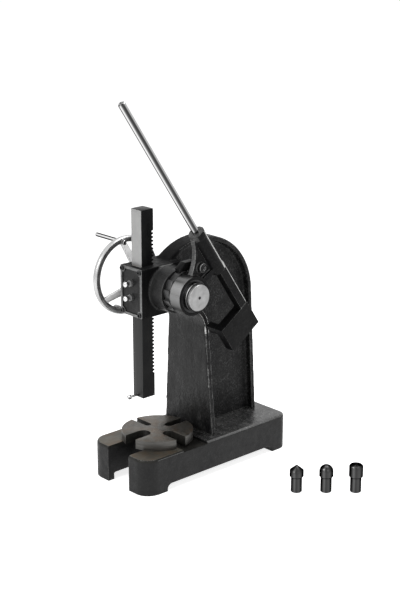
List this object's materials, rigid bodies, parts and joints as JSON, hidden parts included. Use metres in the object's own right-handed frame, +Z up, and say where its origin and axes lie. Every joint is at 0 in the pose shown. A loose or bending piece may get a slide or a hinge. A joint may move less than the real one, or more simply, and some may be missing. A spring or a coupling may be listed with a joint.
{
  "type": "ratchet arbor press",
  "caption": "Bench arbor press: a ratchet lever or a handwheel turns a pinion that drives a toothed square ram down onto a slotted, turning anvil plate.",
  "frame": {"origin": "centre of the anvil plate's top face, on the plate's own axis of rotation", "axes": "+Z up along the ram's travel, -Y towards the operator at the front, +X to the lever's side"},
  "size_m": [0.6936, 0.6076, 1.0468],
  "materials": {
    "black_casting_paint": "satin black paint over a sand casting",
    "black_head_paint": "glossier black paint",
    "machined_iron": "machined and oiled",
    "blackened_steel": "blackened, lightly oiled",
    "bright_steel": "turned bright",
    "chrome": "polished",
    "polished_aluminium": "polished",
    "bearing_bronze": "machined",
    "black_oxide_screw": "black oxide"
  },
  "bodies": {
    "frame": {"base_casting": "black_casting_paint", "column_frame": "black_casting_paint", "column_bolt_1": "black_oxide_screw", "column_bolt_2": "black_oxide_screw", "column_bolt_3": "black_oxide_screw", "column_bolt_4": "black_oxide_screw", "anvil_pin": "bright_steel", "bush_right": "bearing_bronze", "bush_left": "bearing_bronze", "cover_plate": "black_head_paint", "cover_screw_1": "black_oxide_screw", "cover_screw_2": "black_oxide_screw", "cover_screw_3": "black_oxide_screw", "cover_screw_4": "black_oxide_screw", "adjusting_bolt_1": "chrome", "adjusting_bolt_2": "chrome", "lock_nut_1": "chrome", "lock_nut_2": "chrome", "gib_shoe": "bearing_bronze"},
    "anvil": {"anvil_plate": "machined_iron"},
    "ram": {"ram_rack": "blackened_steel"},
    "clamp_screw": {"punch_clamp_screw": "chrome"},
    "pinion": {"pinion_shaft": "bright_steel", "ratchet_wheel": "blackened_steel", "ratchet_key": "bright_steel", "wheel_key": "bright_steel", "thrust_washer": "black_oxide_screw", "spacer_collar": "bright_steel", "retaining_ring": "black_oxide_screw", "handwheel": "polished_aluminium", "wheel_washer": "bright_steel", "wheel_nut": "bright_steel", "crank_bolt": "chrome"},
    "grip": {"crank_grip": "chrome"},
    "lever": {"lever_arm": "black_casting_paint", "lever_bar": "chrome", "bar_set_screw": "black_oxide_screw", "pawl_pin": "blackened_steel"},
    "pawl": {"pawl": "blackened_steel"},
    "cone_punch": {"punch_cone": "blackened_steel"},
    "dome_punch": {"punch_dome": "blackened_steel"},
    "flat_punch": {"punch_flat": "blackened_steel"}
  },
  "joints": [
    {"name": "ram_slide", "type": "slide", "parent": "frame", "child": "ram", "axis": [0, 0, 1], "range_m": [-0.10667, 0.2]},
    {"name": "pinion_turn", "type": "hinge", "parent": "frame", "child": "pinion", "pos_m": [0, -0.00194, 0.405], "axis": [1, 0, 0], "range_deg": [-451, 241]},
    {"name": "lever_swing", "type": "hinge", "parent": "frame", "child": "lever", "pos_m": [0.131, -0.00194, 0.405], "axis": [1, 0, 0], "range_deg": [0, 90]},
    {"name": "pawl_tilt", "type": "hinge", "parent": "lever", "child": "pawl", "pos_m": [0.101, 0.03207, 0.472], "axis": [1, 0, 0], "range_deg": [0, 10]},
    {"name": "anvil_turn", "type": "hinge", "parent": "frame", "child": "anvil", "pos_m": [0, 0, 0], "axis": [0, 0, 1], "continuous": true},
    {"name": "grip_spin", "type": "hinge", "parent": "pinion", "child": "grip", "pos_m": [-0.18, -0.01333, 0.4978], "axis": [1, 0, 0], "continuous": true},
    {"name": "clamp_screw_turn", "type": "hinge", "parent": "ram", "child": "clamp_screw", "pos_m": [0, -0.075, 0.1143], "axis": [0, 1, 0], "continuous": true},
    {"name": "cone_punch_lift", "type": "slide", "parent": "frame", "child": "cone_punch", "axis": [0, 0, 1], "range_m": [0, 0.12]},
    {"name": "dome_punch_lift", "type": "slide", "parent": "frame", "child": "dome_punch", "axis": [0, 0, 1], "range_m": [0, 0.12]},
    {"name": "flat_punch_lift", "type": "slide", "parent": "frame", "child": "flat_punch", "axis": [0, 0, 1], "range_m": [0, 0.12]}
  ],
  "couplings": [
    {"joint": "pinion_turn", "follows": "ram_slide", "rad_per_m": -39.27}
  ]
}
